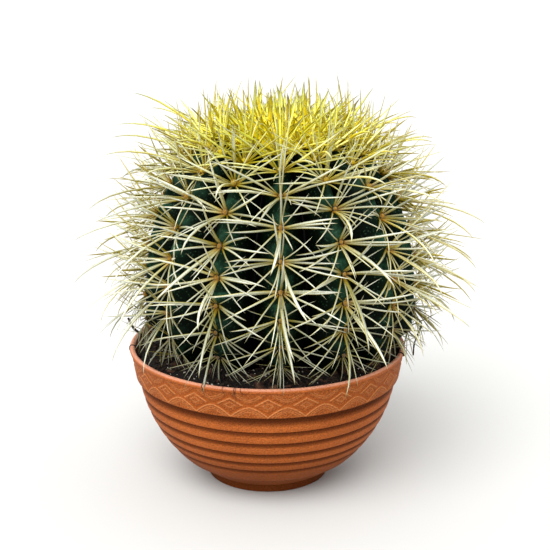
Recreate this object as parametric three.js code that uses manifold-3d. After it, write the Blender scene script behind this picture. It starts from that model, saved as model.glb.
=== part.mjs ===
// A round barrel cactus growing in a ringed bowl, in millimetres with +Z up.
// The origin is the centre of the bowl's underside, and the front rib of the plant faces -Y.

import * as THREE from "three";
import { mergeVertices } from "three/addons/utils/BufferGeometryUtils.js";
import Module from "manifold-3d";

const wasm = await Module();
wasm.setup();

// Bowl
const rimRadius = 100;
const bowlHeight = 99.4;
const lipRound = 1.9;
const bandTopRadius = 99.2;
const bandBottomRadius = 96.2;
const bandBottom = 79.3;
const bandEdge = 77.7;
const bandLedge = 1.5;
const shoulderRadius = 93.5;
const footRadius = 44.4;
const footHeight = 7;
const footTop = 5.4;
const footWidth = 6;
const footRecess = 2.5;
const footBevel = 0.8;
const padRadius = 14;
const wallThickness = 3;
const wallLevels = [8.5, 15, 25, 38, 52, 66, 77];
const ringHeights = [16.6, 30.2, 38.4, 46.8, 56.2, 65.5];
const ringUndercut = 1.3;
const ringNotch = 0.3;
const sideSteepness = 1.7;
const sideFullness = 0.666;
const bowlSegments = 40;

// Soil
const soilAtWall = 93.5;
const soilMound = 7.5;
const soilReach = 96;
const soilRings = [86, 76, 64, 44, 0];
const fitGap = 0.35;
const ribbedFitGap = 0.5;

// Body of the plant
const plantOffset = 9;
const ribCount = 14;
const widestRadius = 96.2;
const widestHeight = 128.8;
const crownRise = 123.3;
const crownFullness = 0.77;
const undersideDrop = 50;
const crownDip = 4;
const crownDipReach = 16;
const crestSamples = 1440;
const furrowDepth = 19;
const furrowStart = 6;
const furrowFull = 70;
const furrowFade = 195;
const furrowEnd = 285;
const columnsPerRib = 4;
const bodyRows = 15;
const rowCrowding = 1.25;
const rootTopRadius = 20;
const rootTipRadius = 8;
const rootTop = 86;
const rootTip = 46;
const rootSides = 12;

// Spine cushions, by their distance down each rib from the crown
const cushionSpacing = 21.5;
const crownCrowding = 3.6;
const crowdingReach = 4.5;
const baseCrowding = 0.8;
const baseCrowdingStart = 10.5;
const flankDrop = 5.2;
const flankMiddle = 9.2;
const flankReach = 1.9;
const firstCushion = 5;
const crownReach = 46;
const lowestCushion = 206;
const ribPhases = [0.10, 0.62, 0.10, 0.85, 0.40, 0.92, 0.30, 0.75, 0.22, 0.64, 0.15, 0.35, 0.45, 0.73];

// Spines of one grown cushion: turn is counted from its right, and lift from the plant's skin
const grownSpines = [
  { turn: -90, lift: 46, length: 57, radius: 1.3, bow: 8 },
  { turn: 4, lift: 40, length: 50, radius: 1.1, bow: 0 },
  { turn: 176, lift: 40, length: 50, radius: 1.1, bow: 0 },
  { turn: 92, lift: 52, length: 44, radius: 1.1, bow: 0 },
];
const sideSpine = { lift: 18, length: 40, radius: 0.9, bow: 0 };
const sideSpineTurns = [-3, -134, 183, -46];
const sideSpineEvery = 2;
const crownSpine = { turn: -90, lift: 70, length: 38, radius: 1.0, bow: 0 };
const crownSpread = 110;
const crownShortening = 0.2;
const crownMiddle = [8, 40];
const spineRootDepth = 3.6;
const turnScatter = 26;
const liftScatter = 16;
const lengthScatter = 0.36;
const bendScatter = 0.1;
const baseShortening = 0.3;
const baseLowering = 0.5;
const baseStraightening = 0.6;
const baseChangeStart = 140;
const spineClearance = 1.6;
const liftStep = 8;
const shortStep = 0.16;
const shortTries = 4;
const placeTries = 28;
const clearanceChecks = 16;

// Dried twigs in the soil beside the plant
const twigSides = 6;
const leftTwig = {
  radius: 1.1,
  steps: 8,
  route: [[-87, 9, 85], [-90, 9.5, 95], [-94.5, 10, 101.8], [-99, 11, 105.5], [-102.8, 12, 113]],
};
const rightTwig = {
  radius: 0.6,
  steps: 18,
  route: [
    [86, 19, 86], [90.5, 18, 96], [96.5, 14.5, 105], [100.5, 11, 111.5], [104.5, 8, 115.5],
    [109, 5, 115.2], [112.3, 3, 110.8], [109.5, 1, 103.6], [107, -1, 97], [106.6, -1, 88.5],
  ],
};
const twigChecks = 40;

const degrees = Math.PI / 180;

function smoothStep(low, high, value) {
  const t = Math.min(Math.max((value - low) / (high - low), 0), 1);
  return t * t * (3 - 2 * t);
}

// A repeatable number from -0.5 to 0.5 for each rib, cushion and draw
function scatter(rib, cushion, draw) {
  const wave = Math.sin(rib * 12.9898 + cushion * 78.233 + draw * 37.719) * 43758.5453;
  return wave - Math.floor(wave) - 0.5;
}

// A closed mesh as a solid: shared vertices are merged, and triangles collapsed at a pole are dropped
function solidFrom(geometry) {
  const bare = new THREE.BufferGeometry();
  bare.setAttribute("position", geometry.getAttribute("position"));
  bare.setIndex(geometry.getIndex());
  const merged = mergeVertices(bare, 1e-4);
  const corners = merged.getIndex().array;
  const kept = [];
  for (let i = 0; i < corners.length; i += 3) {
    const [a, b, c] = [corners[i], corners[i + 1], corners[i + 2]];
    if (a !== b && b !== c && c !== a) kept.push(a, b, c);
  }
  return new wasm.Manifold(new wasm.Mesh({
    numProp: 3,
    vertProperties: new Float32Array(merged.getAttribute("position").array),
    triVerts: new Uint32Array(kept),
  }));
}

function geometryFrom(solid) {
  const mesh = solid.getMesh();
  const geometry = new THREE.BufferGeometry();
  geometry.setAttribute("position", new THREE.BufferAttribute(mesh.vertProperties, 3));
  geometry.setIndex(new THREE.BufferAttribute(mesh.triVerts, 1));
  geometry.computeVertexNormals();
  return geometry;
}

// A profile of [radius, height] points turned about the upright axis
function turned(profile) {
  const points = profile.map(([radius, height]) => new THREE.Vector2(radius, height));
  return new THREE.LatheGeometry(points, bowlSegments).rotateX(Math.PI / 2);
}

// The bowl's swelling side, without its rings
function bowlSide(height) {
  const rise = (height - footHeight) / (bandBottom - footHeight);
  const swell = Math.pow(1 - Math.pow(1 - rise, sideSteepness), sideFullness);
  return footRadius + (shoulderRadius - footRadius) * swell;
}

// A point of the bowl's side moved in along its own normal
function insideBowl(height, depth) {
  const probe = 0.05;
  const slope = (bowlSide(height + probe) - bowlSide(height)) / probe;
  const length = Math.hypot(1, slope);
  return [bowlSide(height) - depth / length, height + depth * slope / length];
}

// The bowl's inner face, from the floor up to the level given, moved in by a clearance
function innerFace(level, clearance) {
  const depth = wallThickness + clearance;
  const floor = footRecess + wallThickness + clearance;
  const slope = (bandTopRadius - bandBottomRadius) / (bowlHeight - lipRound - bandBottom);
  const ledge = [bandBottomRadius - depth, bandBottom + bandLedge];
  return [
    [0, floor],
    [footRadius - depth, floor],
    ...wallLevels.map((height) => insideBowl(height, depth)),
    ledge,
    [ledge[0] + slope * (level - ledge[1]), level],
  ];
}

function bowlGeometry() {
  const footInside = footRadius - footWidth;
  const foot = [
    [0, 0], [padRadius, 0], [padRadius + footRecess / 2, footRecess],
    [footInside - footRecess / 2, footRecess], [footInside, 0],
    [footRadius - footBevel, 0], [footRadius, footBevel], [footRadius, footTop],
    [bowlSide(ringHeights[0] - ringNotch) - ringUndercut, ringHeights[0] - ringNotch],
  ];
  // Each ring hangs over the one below it: an edge at its foot, a swell, then the undercut
  const rings = ringHeights.flatMap((height, i) => {
    const next = ringHeights[i + 1] ?? bandEdge;
    const middle = (height + next) / 2;
    return [
      [bowlSide(height), height],
      [bowlSide(middle), middle],
      [bowlSide(next - ringNotch) - ringUndercut, next - ringNotch],
    ];
  });
  const band = [[bandBottomRadius, bandEdge], [bandTopRadius, bowlHeight - lipRound - footBevel]];
  const lip = [0, 45, 90, 135].map((turn) => [
    rimRadius - lipRound * (1 - Math.cos(turn * degrees)),
    bowlHeight - lipRound * (1 - Math.sin(turn * degrees)),
  ]);
  const inside = innerFace(bowlHeight - lipRound, 0).reverse();
  return turned([...foot, ...rings, ...band, ...lip, ...inside]);
}

// The soil's surface, mounded a little towards the plant
function soilTop(radius) {
  return soilAtWall + soilMound * (1 - Math.pow(Math.min(radius / soilReach, 1), 4));
}

// A rib's crest line from the crown down: a superellipse above the widest height, with a small
// dip at the crown, and an ellipse below it. Each sample has its distance along the line.
function sampleCrest() {
  const samples = [];
  let along = 0;
  for (let i = 0; i <= crestSamples; i += 1) {
    const turn = Math.PI * (0.5 - i / crestSamples);
    const across = Math.max(Math.cos(turn), 0);
    const above = turn >= 0;
    const radius = widestRadius * (above ? Math.pow(across, crownFullness) : across);
    const rise = above
      ? crownRise * Math.pow(Math.sin(turn), crownFullness)
      : undersideDrop * Math.sin(turn);
    const dip = above ? crownDip * Math.exp(-Math.pow(radius / crownDipReach, 2)) : 0;
    const height = widestHeight + rise - dip;
    const last = samples.at(-1);
    if (last) along += Math.hypot(radius - last.radius, height - last.height);
    samples.push({ along, radius, height });
  }
  return samples;
}

const crestLine = sampleCrest();
const crestLength = crestLine.at(-1).along;

// The crest's radius, height and outward normal at a distance down from the crown
function crestAt(along) {
  const found = crestLine.findIndex((sample) => sample.along >= along);
  const i = found < 0 ? crestLine.length - 1 : Math.max(found, 1);
  const [before, after] = [crestLine[i - 1], crestLine[i]];
  const step = after.along - before.along;
  const t = (along - before.along) / step;
  return {
    radius: before.radius + t * (after.radius - before.radius),
    height: before.height + t * (after.height - before.height),
    outward: (before.height - after.height) / step,
    upward: (after.radius - before.radius) / step,
  };
}

function furrowAt(along) {
  const opening = smoothStep(furrowStart, furrowFull, along);
  return furrowDepth * opening * (1 - smoothStep(furrowFade, furrowEnd, along));
}

// The ribbed body: the crest line turned about the plant's axis, and each column sunk into
// the furrow by its distance from the crest, with the whole skin moved out by a clearance
function ribbedBody(clearance) {
  const columns = ribCount * columnsPerRib;
  const rows = Array.from({ length: bodyRows + 1 }, (_, row) => {
    const along = crestLength * Math.pow(1 - row / bodyRows, rowCrowding);
    return { ...crestAt(along), furrow: furrowAt(along) };
  });
  const profile = rows.map(({ radius, height }) => new THREE.Vector2(radius, height));
  const skin = new THREE.LatheGeometry(profile, columns);
  const position = skin.getAttribute("position");
  for (let column = 0; column <= columns; column += 1) {
    const angle = (column % columns) * 2 * Math.PI / columns;
    const inRib = (column % columnsPerRib) / columnsPerRib;
    const fromCrest = 2 * Math.min(inRib, 1 - inRib);
    rows.forEach((row, i) => {
      const atPole = i === 0 || i === bodyRows;
      const out = clearance - row.furrow * fromCrest;
      const radius = atPole ? 0 : row.radius + out * row.outward;
      position.setXYZ(
        column * rows.length + i,
        plantOffset + radius * Math.sin(angle),
        -radius * Math.cos(angle),
        row.height + out * row.upward,
      );
    });
  }
  const root = new THREE.CylinderGeometry(
    rootTopRadius + clearance, rootTipRadius + clearance, rootTop - rootTip + clearance, rootSides,
  );
  root.rotateX(Math.PI / 2);
  root.translate(plantOffset, 0, (rootTop + rootTip - clearance) / 2);
  return solidFrom(skin).add(solidFrom(root));
}

// A cushion's distance down its rib: close together at the crown, wider apart on the upper side,
// and closer again from the flank to the base
function cushionAlong(order) {
  const crowded = crownCrowding * Math.tanh(order / crowdingReach);
  const low = Math.max(order - baseCrowdingStart, 0);
  const dropped = flankDrop * Math.exp(-Math.pow((order - flankMiddle) / flankReach, 2));
  return cushionSpacing * (order - crowded) - baseCrowding * low * low + dropped;
}

// A cushion's place on its rib, with the directions to its right, up the rib and out of the skin
function cushionFrame(rib, along) {
  const { radius, height, outward, upward } = crestAt(along);
  const angle = rib * 2 * Math.PI / ribCount;
  const spoke = new THREE.Vector3(Math.sin(angle), -Math.cos(angle), 0);
  return {
    place: spoke.clone().multiplyScalar(radius).add(new THREE.Vector3(plantOffset, 0, height)),
    right: new THREE.Vector3(Math.cos(angle), Math.sin(angle), 0),
    up: spoke.clone().multiplyScalar(-upward).add(new THREE.Vector3(0, 0, outward)),
    out: spoke.clone().multiplyScalar(outward).add(new THREE.Vector3(0, 0, upward)),
  };
}

function twigCurve({ route }) {
  return new THREE.CatmullRomCurve3(route.map((point) => new THREE.Vector3(...point)));
}

const twigPoints = [leftTwig, rightTwig].flatMap((twig) => twigCurve(twig).getPoints(twigChecks));

// Whether a point of a spine is over the soil, or over the rim's level further out, and off the twigs
function isClear(point) {
  const radius = Math.hypot(point.x, point.y);
  const atLip = radius > rimRadius - 2 * lipRound - spineClearance;
  const ground = atLip ? bowlHeight : soilTop(radius);
  const offTwigs = twigPoints.every((at) => at.distanceTo(point) > 2 * spineClearance);
  return offTwigs && point.z > ground + spineClearance;
}

// A bowed spine is two straight halves, so its bow grows evenly to the middle
function bowAt(t) {
  return 1 - Math.abs(2 * t - 1);
}

// One spine from its root inside the rib to its tip, shortened and then lifted in steps until
// it is clear. A bowed one also bends a little to a side.
function placeSpine(frame, { turn, lift, length, radius, bow, bend }) {
  const root = frame.place.clone().addScaledVector(frame.out, -spineRootDepth);
  const [cosine, sine] = [Math.cos(turn * degrees), Math.sin(turn * degrees)];
  const bowing = frame.out.clone().multiplyScalar(bow);
  if (bow > 0) bowing.addScaledVector(frame.up, bend * cosine).addScaledVector(frame.right, -bend * sine);
  for (let attempt = 0; attempt < placeTries; attempt += 1) {
    const raised = (lift + Math.floor(attempt / shortTries) * liftStep) * degrees;
    const reach = length * (1 - (attempt % shortTries) * shortStep);
    const tip = frame.place.clone()
      .addScaledVector(frame.right, reach * Math.cos(raised) * cosine)
      .addScaledVector(frame.up, reach * Math.cos(raised) * sine)
      .addScaledVector(frame.out, reach * Math.sin(raised));
    const points = Array.from({ length: clearanceChecks }, (_, i) => {
      const t = (i + 1.5) / (clearanceChecks + 0.5);
      return root.clone().lerp(tip, t).addScaledVector(bowing, bowAt(t));
    });
    if (points.every(isClear)) return { root, tip, radius, bowing };
  }
  return null;
}

// A crown cushion has one upright spine, and a grown one its crossed long spines, with a
// shorter side spine on every few cushions. They are shorter in the crown's middle, and
// shorter, lower and straighter near the soil.
function spinesOfCushion(rib, order, along) {
  const cushion = Math.floor(order);
  const frame = cushionFrame(rib, along);
  const sides = (rib + cushion) % sideSpineEvery ? [] : [
    { ...sideSpine, turn: sideSpineTurns[(rib + cushion / 2 | 0) % sideSpineTurns.length] },
  ];
  const kinds = along < crownReach
    ? [{ ...crownSpine, turn: crownSpine.turn + crownSpread * scatter(rib, cushion, 9) }]
    : [...grownSpines, ...sides];
  const low = smoothStep(baseChangeStart, lowestCushion, along);
  const inside = 1 - smoothStep(...crownMiddle, along);
  return kinds.map((kind, item) => {
    const shortened = 1 - baseShortening * low - crownShortening * inside;
    const length = kind.length * shortened * (1 + lengthScatter * scatter(rib, cushion, item + 40));
    const straightened = 1 - baseStraightening * low;
    return placeSpine(frame, {
      ...kind,
      length,
      turn: kind.turn + turnScatter * scatter(rib, cushion, item),
      lift: (kind.lift + liftScatter * scatter(rib, cushion, item + 20)) * (1 - baseLowering * low),
      bow: kind.bow * straightened,
      bend: length * straightened * bendScatter * scatter(rib, cushion, item + 120),
    });
  }).filter(Boolean);
}

function listSpines() {
  const spines = [];
  for (let rib = 0; rib < ribCount; rib += 1) {
    for (let order = ribPhases[rib]; cushionAlong(order) < lowestCushion; order += 1) {
      const along = cushionAlong(order);
      if (along > firstCushion) spines.push(...spinesOfCushion(rib, order, along));
    }
  }
  return spines;
}

// A three-sided needle, in two straight halves where it is bowed
function needle({ root, tip, radius, bowing }) {
  const length = root.distanceTo(tip);
  const halves = bowing.length() > 0 ? 2 : 1;
  const cone = new THREE.ConeGeometry(radius, length, 3, halves);
  const along = tip.clone().sub(root).normalize();
  cone.translate(0, length / 2, 0);
  cone.applyQuaternion(new THREE.Quaternion().setFromUnitVectors(new THREE.Vector3(0, 1, 0), along));
  const position = cone.getAttribute("position");
  for (let i = 0; i < position.count; i += 1) {
    const point = new THREE.Vector3().fromBufferAttribute(position, i);
    point.addScaledVector(bowing, bowAt(point.dot(along) / length)).add(root);
    position.setXYZ(i, point.x, point.y, point.z);
  }
  return solidFrom(cone);
}

function cactusGeometry() {
  return geometryFrom(listSpines().reduce((solid, spine) => solid.add(needle(spine)), ribbedBody(0)));
}

function twigGeometry(twig, clearance) {
  const section = new THREE.Shape(Array.from({ length: twigSides }, (_, i) => {
    const angle = i * 2 * Math.PI / twigSides;
    return new THREE.Vector2(Math.cos(angle), Math.sin(angle)).multiplyScalar(twig.radius + clearance);
  }));
  return new THREE.ExtrudeGeometry(section, {
    steps: twig.steps,
    bevelEnabled: false,
    extrudePath: twigCurve(twig),
  });
}

// The soil fills the bowl round the plant's base and root, and the twigs stand in holes in it
function soilGeometry() {
  const surface = soilRings.map((radius) => [radius, soilTop(radius)]);
  const filling = solidFrom(turned([...innerFace(soilAtWall, fitGap), ...surface]));
  const planted = filling.subtract(ribbedBody(ribbedFitGap));
  return geometryFrom([leftTwig, rightTwig].reduce(
    (solid, twig) => solid.subtract(solidFrom(twigGeometry(twig, fitGap))), planted,
  ));
}

function piece(name, geometry, colour, roughness) {
  const mesh = new THREE.Mesh(
    geometry,
    new THREE.MeshStandardMaterial({ color: colour, roughness, metalness: 0 }),
  );
  mesh.name = name;
  return mesh;
}

const pottedCactus = new THREE.Group();
pottedCactus.add(
  piece("bowl", bowlGeometry(), 0xaa5d2d, 0.62),
  piece("soil", soilGeometry(), 0x302920, 0.95),
  piece("cactus", cactusGeometry(), 0x3c6e5f, 0.55),
  piece("twig_left", twigGeometry(leftTwig, 0), 0x2e241b, 0.85),
  piece("twig_right", twigGeometry(rightTwig, 0), 0x2e241b, 0.85),
);

export default pottedCactus;
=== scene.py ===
import math
from functools import partial
import bpy
import numpy as np
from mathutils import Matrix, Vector


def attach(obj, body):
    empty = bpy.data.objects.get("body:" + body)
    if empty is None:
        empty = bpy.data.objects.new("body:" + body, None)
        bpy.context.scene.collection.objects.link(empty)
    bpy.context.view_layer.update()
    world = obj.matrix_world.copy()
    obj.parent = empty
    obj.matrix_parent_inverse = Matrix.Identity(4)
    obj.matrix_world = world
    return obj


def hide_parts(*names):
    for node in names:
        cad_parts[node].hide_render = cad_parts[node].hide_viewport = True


# A round barrel cactus in a ringed, terracotta-coloured bowl.
# Sizes in the dictionaries are in millimetres, which meshInMetres turns to metres, and angles in degrees.
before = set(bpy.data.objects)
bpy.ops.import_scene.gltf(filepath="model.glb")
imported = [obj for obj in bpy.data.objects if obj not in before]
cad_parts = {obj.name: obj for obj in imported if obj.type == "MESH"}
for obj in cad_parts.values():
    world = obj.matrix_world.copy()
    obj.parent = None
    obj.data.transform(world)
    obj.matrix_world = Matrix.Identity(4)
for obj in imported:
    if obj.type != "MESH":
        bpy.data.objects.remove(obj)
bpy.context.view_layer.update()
turnFull = 2 * math.pi


# General helpers


def linearColour(hexText):
    # An sRGB hex value turned to linear red, green and blue with alpha 1
    parts = [int(hexText[i:i + 2], 16) / 255 for i in (1, 3, 5)]
    return tuple(c / 12.92 if c <= 0.04045 else ((c + 0.055) / 1.055) ** 2.4 for c in parts) + (1.0,)


def addNode(tree, kind, inputs=None, stops=(), out=None, **settings):
    # Adds a shader node with its settings, ramp stops and inputs, and links the inputs that are sockets.
    # Gives back the output of that name, or else the first one in use.
    node = tree.nodes.new("ShaderNode" + kind)
    for key, value in settings.items():
        setattr(node, key, value)
    for at, colour in stops[2:]:
        node.color_ramp.elements.new(at)
    for element, (at, colour) in zip(node.color_ramp.elements if stops else (), stops):
        element.position = at
        element.color = linearColour(colour) if isinstance(colour, str) else (colour,) * 3 + (1.0,)
    for key, value in (inputs or {}).items():
        if isinstance(value, bpy.types.NodeSocket):
            tree.links.new(value, node.inputs[key])
        else:
            node.inputs[key].default_value = value
    return node.outputs[out] if out else next(socket for socket in node.outputs if socket.enabled)


def newFinish(name, **sockets):
    # A material with the shader's fixed values, underscores standing for spaces, and what adds a node to it
    material = bpy.data.materials.new(name)
    material.use_nodes = True
    for key, value in sockets.items():
        material.node_tree.nodes["Principled BSDF"].inputs[key.replace("_", " ")].default_value = value
    return material, partial(addNode, material.node_tree)


def linkFinish(material, **sockets):
    # Links each output to the shader's socket of that name, and gives the material back
    tree = material.node_tree
    for key, output in sockets.items():
        tree.links.new(output, tree.nodes["Principled BSDF"].inputs[key.replace("_", " ")])
    return material


def roughFinish(name, noise, stops, relief=None, **sockets):
    # A finish coloured by a ramp of noise. relief has a texture's kind and values, and the strength and the
    # depth in metres of its bump.
    material, add = newFinish(name, **sockets)
    place = add("TexCoord", out="Object")
    colour = add("ValToRGB", {"Fac": add("TexNoise", {"Vector": place, **noise})}, stops)
    if not relief:
        return linkFinish(material, Base_Color=colour)
    kind, values, strength, depth = relief
    height = add(kind, {"Vector": place, **values})
    bump = add("Bump", {"Height": height, "Strength": strength, "Distance": depth})
    return linkFinish(material, Base_Color=colour, Normal=bump)


def smoothStep(low, high, value):
    # From 0 at low to 1 at high: three t squared less two t cubed
    t = np.clip((value - low) / (high - low), 0, 1)
    return t * t * (3 - 2 * t)


def unit(vectors):
    # Each vector divided by its length
    return vectors / np.linalg.norm(vectors, axis=-1, keepdims=True)


def scatter(rib, cushion, draw):
    # A repeatable number from -0.5 to 0.5 for each rib, cushion and draw: the fraction of a large sine
    wave = np.sin(rib * 12.9898 + cushion * 78.233 + draw * 37.719) * 43758.5453
    return wave - np.floor(wave) - 0.5


def latticeNoise(points, cell, seed):
    # Each corner of a lattice with that cell has a number from -1 to 1, and they blend smoothly in between
    scaled = np.asarray(points, float) / cell
    base = np.floor(scaled).astype(np.int64)
    part = scaled - base
    part = part * part * (3 - 2 * part)
    total = np.zeros(scaled.shape[:-1])
    for corner in np.ndindex(2, 2, 2):
        at = base + np.array(corner)
        key = at[..., 0] * 73856093 ^ at[..., 1] * 19349663 ^ at[..., 2] * 83492791 ^ seed * 97531
        key = ((key & 0x7FFFFFFF) ^ ((key & 0x7FFFFFFF) >> 13)) * 1274126177 & 0x7FFFFFFF
        value = ((key ^ (key >> 15)) & 0xFFFF) / 32767.5 - 1
        total += value * np.prod(np.where(corner, part, 1 - part), axis=-1)
    return total


def evenTurns(count):
    # Angles at even steps once round, from 0
    return np.arange(count) / count * turnFull


def stackPoints(*parts):
    # Points from their x, y and z, spread over one another's rows and columns
    return np.stack(np.broadcast_arrays(*parts), axis=-1)


def aboutAxis(turn, reach, height, offset=0):
    # Points about an upright axis that far to the right of the bowl's. Turn 0 faces the front.
    return stackPoints(offset + reach * np.sin(turn), -reach * np.cos(turn), height)


def ballRings(rise, corners):
    # Rings of a ball of radius 1, each at an angle from its equator
    rise, around = np.array(rise)[:, None], evenTurns(corners)
    return stackPoints(np.cos(rise) * np.cos(around), np.cos(rise) * np.sin(around), np.sin(rise))


def sweepOval(path, side, normal, wide, thick, corners):
    # An oval carried along each path: side times the cosine plus normal times the sine
    around = evenTurns(corners)[:, None]
    across = (side * wide[..., None])[..., None, :]
    through = (normal * thick[..., None])[..., None, :]
    return path[..., None, :] + across * np.cos(around) + through * np.sin(around)


def addObject(name, data):
    item = bpy.data.objects.new(name, data)
    bpy.context.scene.collection.objects.link(item)
    return item


def meshInMetres(name, points, faces, marks, smooth=True):
    # A mesh of points in millimetres, faces in one array for each corner count, and the points' values
    mesh = bpy.data.meshes.new(name)
    mesh.from_pydata((points * 0.001).tolist(), [], [face for kind in faces for face in kind.tolist()])
    mesh.polygons.foreach_set("use_smooth", np.full(len(mesh.polygons), smooth))
    for key, values in marks.items():
        attribute = mesh.attributes.new(key, "FLOAT", "POINT")
        attribute.data.foreach_set("value", values.astype(np.float32).ravel())
    return mesh


def addShells(name, rings, startPole, endPole, material, slot, marks=None, replaced=(), smooth=True):
    # rings holds (shells, rings, corners, xyz), or one shell alone. A fan to the pole at each end closes a
    # shell or, with no poles, its last ring meets its first. marks holds values that spread over the ring
    # points, and a pole takes its ring's mean.
    rings = rings.reshape(-1, *rings.shape[-3:])
    shells, count, corners = rings.shape[:3]
    looped = startPole is None
    poles = [] if looped else [np.reshape(pole, (shells, 1, 3)) for pole in (startPole, endPole)]
    stacked = [*poles[:1], rings.reshape(shells, -1, 3), *poles[1:]]
    points = np.concatenate(stacked, axis=1).reshape(-1, 3)
    ring = np.arange(count * corners).reshape(count, corners) + (not looped)
    ring = np.concatenate([ring, ring[:looped]])
    after = np.roll(ring, -1, axis=1)
    quads = np.stack([ring[:-1], after[:-1], after[1:], ring[1:]], axis=-1).reshape(-1, 4)
    first = np.stack([np.zeros(corners, int), after[0], ring[0]], axis=-1)
    last = np.stack([np.full(corners, count * corners + 1), ring[-1], after[-1]], axis=-1)
    offsets = np.arange(shells)[:, None, None] * (len(points) // shells)
    kinds = [quads] if looped else [quads, np.concatenate([first, last])]
    faces = [(f[None] + offsets).reshape(-1, f.shape[1]) for f in kinds]
    values = {}
    for key, mark in (marks or {}).items():
        full = np.broadcast_to(mark, rings.shape[:3])
        ends = [] if looped else [full[:, i].mean(axis=1)[:, None] for i in (0, -1)]
        values[key] = np.concatenate([*ends[:1], full.reshape(shells, -1), *ends[1:]], axis=1)
    mesh = meshInMetres(name, points, faces, values, smooth)
    mesh.materials.append(material)
    piece = addObject(name, mesh)
    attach(piece, "root")
    if replaced:
        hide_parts(*replaced)
    print(f"{name}: {sum(len(f) * (f.shape[1] - 2) for f in faces)} triangles")


# Camera, light and floor

view = {
    "distance": 870,  # from the bowl's axis
    "lookDown": 15.7,
    "aimHeight": 149.2,
    "shiftRight": 5.4,
    "lens": 79.2,
    "sensor": 36,
}

studio = {
    "skyLow": 0.6,  # brightness of the sky at the horizon and overhead
    "skyHigh": 1.7,
    "floor": "#BABAB8",
    "floorReach": 12000,
    "key": (-0.35, -0.8, 1),  # where the soft light comes from
    "keyStrength": 3.9,
    "keySpread": 50,
}


def addCamera():
    # Looks down along the tilt at a point beside the bowl's axis, from that distance
    tilt = math.radians(view["lookDown"])
    data = bpy.data.cameras.new("camera")
    data.lens = view["lens"]
    data.sensor_width = view["sensor"]
    data.clip_start = 0.05
    data.clip_end = 60
    camera = addObject("camera", data)
    back, rise = view["distance"] * math.cos(tilt), view["distance"] * math.sin(tilt)
    camera.location = [side * 0.001 for side in (view["shiftRight"], -back, view["aimHeight"] + rise)]
    camera.rotation_euler = (math.pi / 2 - tilt, 0, 0)
    bpy.context.scene.camera = camera


def addKey():
    # A wide, soft light from above, even on the plant and all of the floor
    data = bpy.data.lights.new("key", "SUN")
    data.energy = studio["keyStrength"]
    data.angle = math.radians(studio["keySpread"])
    light = addObject("key", data)
    light.rotation_euler = Vector(studio["key"]).to_track_quat("Z", "Y").to_euler()


def addSky():
    # A white sky that grows brighter with the height of the direction looked in
    world = bpy.data.worlds.new("paleStudio")
    world.use_nodes = True
    tree = world.node_tree
    add = partial(addNode, tree)
    upward = add("SeparateXYZ", {0: add("TexCoord", out="Generated")}, out="Z")
    glow = add("MapRange", {"Value": upward, "To Min": studio["skyLow"], "To Max": studio["skyHigh"]})
    background = tree.nodes["Background"]
    tree.links.new(glow, background.inputs["Strength"])
    background.inputs["Color"].default_value = linearColour("#FFFFFF")
    bpy.context.scene.world = world


def addFloor():
    material = newFinish("paleFloor", Roughness=0.9, Base_Color=linearColour(studio["floor"]))[0]
    corners = np.array([[-1, -1, 0], [1, -1, 0], [1, 1, 0], [-1, 1, 0]], float)
    mesh = meshInMetres("floor", corners * studio["floorReach"], [np.array([[0, 1, 2, 3]])], {})
    mesh.materials.append(material)
    addObject("floor", mesh)


addCamera()
addSky()
addKey()
addFloor()
bpy.context.scene.view_settings.view_transform = "Standard"
print("camera, light and floor")


# Bowl

bowl = {
    "columns": 384,  # round the bowl
    "rimRadius": 100,
    "height": 99.4,
    "lipRound": 1.9,
    "lipTurns": (-55, -30, -8, 15, 40, 65, 90, 120, 150, 178),  # over the lip, 0 is outward
    "bandTop": 96.7,
    "bandTopRadius": 99.2,
    "bandBottomRadius": 96.2,
    "bandBottom": 79.3,
    "bandEdge": 77.7,  # hangs in front of the wall
    "bandColumns": 1872,  # round the band, 0.33 mm apart
    "bandRows": 44,
    "bandThick": 1.6,
    "bandFoot": 2.8,  # how far behind the band's face its lower end is
    "ledge": 1.5,
    "shoulderRadius": 93.5,
    "footRadius": 44.4,
    "footHeight": 7,
    "footTop": 5.4,
    "footWidth": 6,
    "footRecess": 2.5,
    "footBevel": 0.8,
    "footSwell": 1.1,
    "padRadius": 14,
    "wall": 3,
    "wallHeights": (77, 60, 38, 20, 9),
    "sidePowers": (1.7, 0.666),
    "ringHeights": (16.6, 30.2, 38.4, 46.8, 56.2, 65.5),
    "ringSteps": (0, 0.025, 0.07, 0.16, 0.3, 0.44, 0.56, 0.66, 0.75, 0.83, 0.9, 0.96, 1),
    "ringGap": 0.3,  # from the top of one ring's side to the next ring's edge
    "undercut": 1.9,
    "undercutReach": 1.7,
    "grooveFade": (4.8, 1.9),  # painted shade, from none to full, by the distance under a ring's edge
    "bandShade": (69.4, 72.8),  # painted shade on the wall, darkening up to the band and down to the foot
    "footShade": (42, 24),
    "inside": 0.3,  # how much painted shade the inner wall has
    "edgeRound": 0.4,
    "edgeShare": 0.07,
    "cove": (1.8, 75.2, 2.4),  # the hollow under the band: its depth, height and reach
    "repeats": 24,  # diamonds round the band
    "patternTurn": 0.035,
    "patternLow": 78.6,
    "patternHigh": 95.4,
    "patternInner": (0.62, 0.7, 0.886),  # the inner diamond's half height, half width and slope
    "patternOuter": (0.14, 0.86, 1.6),  # the outer line's height at the sides, its rise and power
    "patternEdge": (1.06, 0.99),
    "ribbonDepth": 0.34,
    "ribbonSoft": (0.05, 0.4),  # how far before and behind an outline its side slopes
    "ridgeHeight": 0.14,
    "ridgeWidth": 0.26,
}
bandDrop = bowl["height"] - bowl["lipRound"] - bowl["bandBottom"]
bandLean = (bowl["bandTopRadius"] - bowl["bandBottomRadius"]) / bandDrop


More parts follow.
